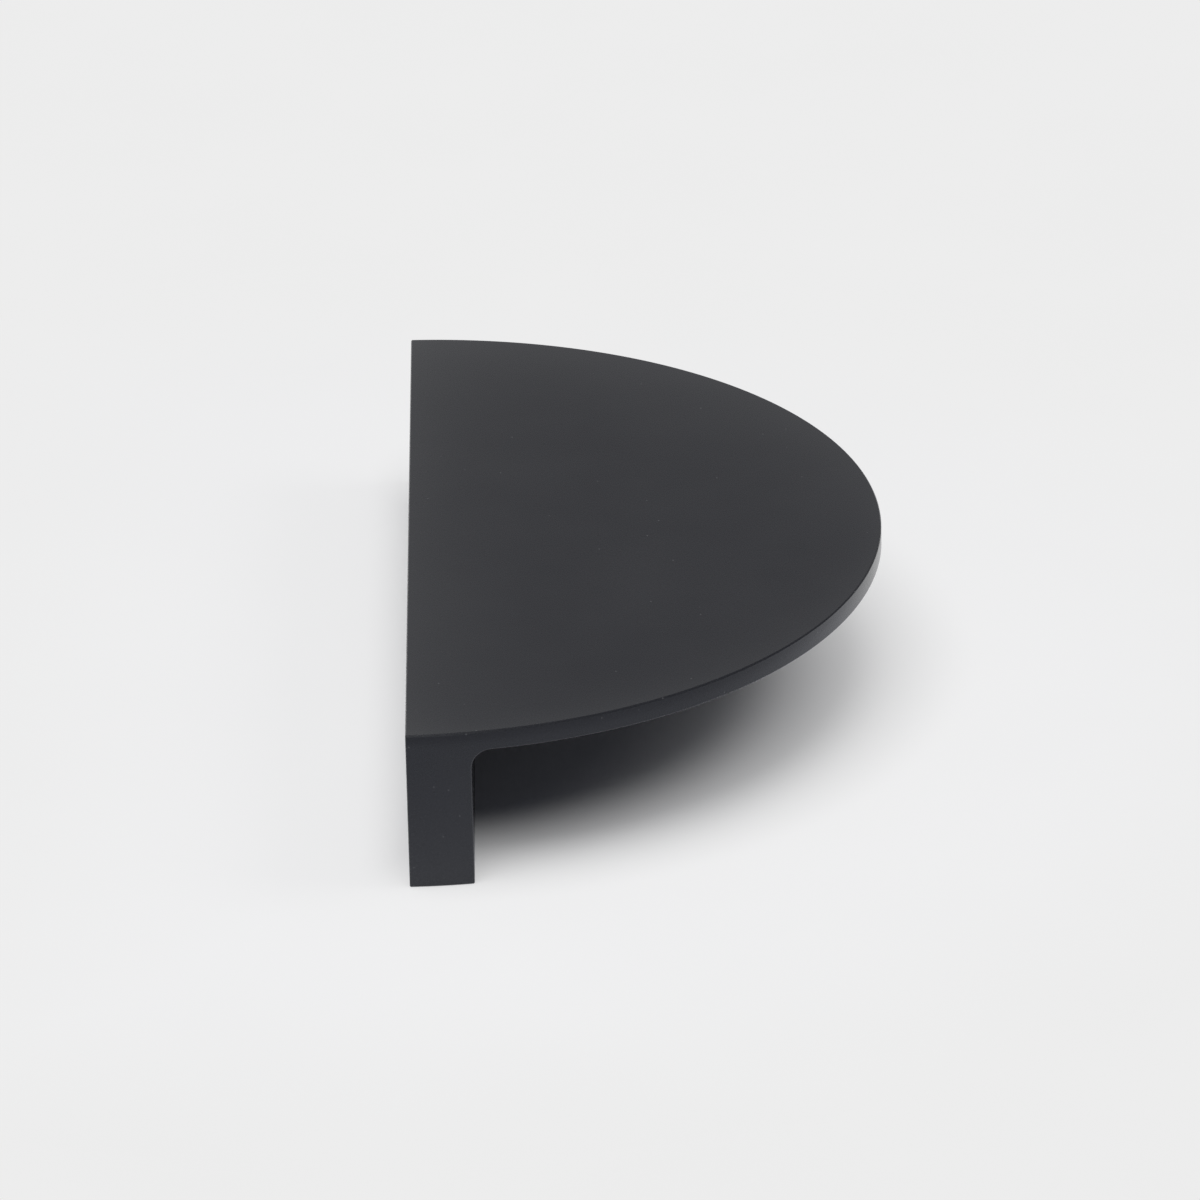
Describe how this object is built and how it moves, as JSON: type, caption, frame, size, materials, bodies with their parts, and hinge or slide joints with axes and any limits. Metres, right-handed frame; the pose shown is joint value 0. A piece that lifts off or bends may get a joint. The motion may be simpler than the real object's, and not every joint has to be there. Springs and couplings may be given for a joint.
{
  "type": "cabinet pull",
  "caption": "Half-moon cabinet pull: a thin half-round finger plate held off the door by a straight leg with tapped fixing holes in its base.",
  "frame": {"origin": "on the leg's base, where it meets the door, midway between the two fixing holes", "axes": "+X from the leg to the tip of the arc, +Y along the straight edge, +Z out of the door"},
  "size_m": [0.07, 0.14, 0.024],
  "materials": {
    "black_coat": "satin"
  },
  "bodies": {
    "root": {"half_moon_pull": "black_coat"}
  },
  "joints": []
}
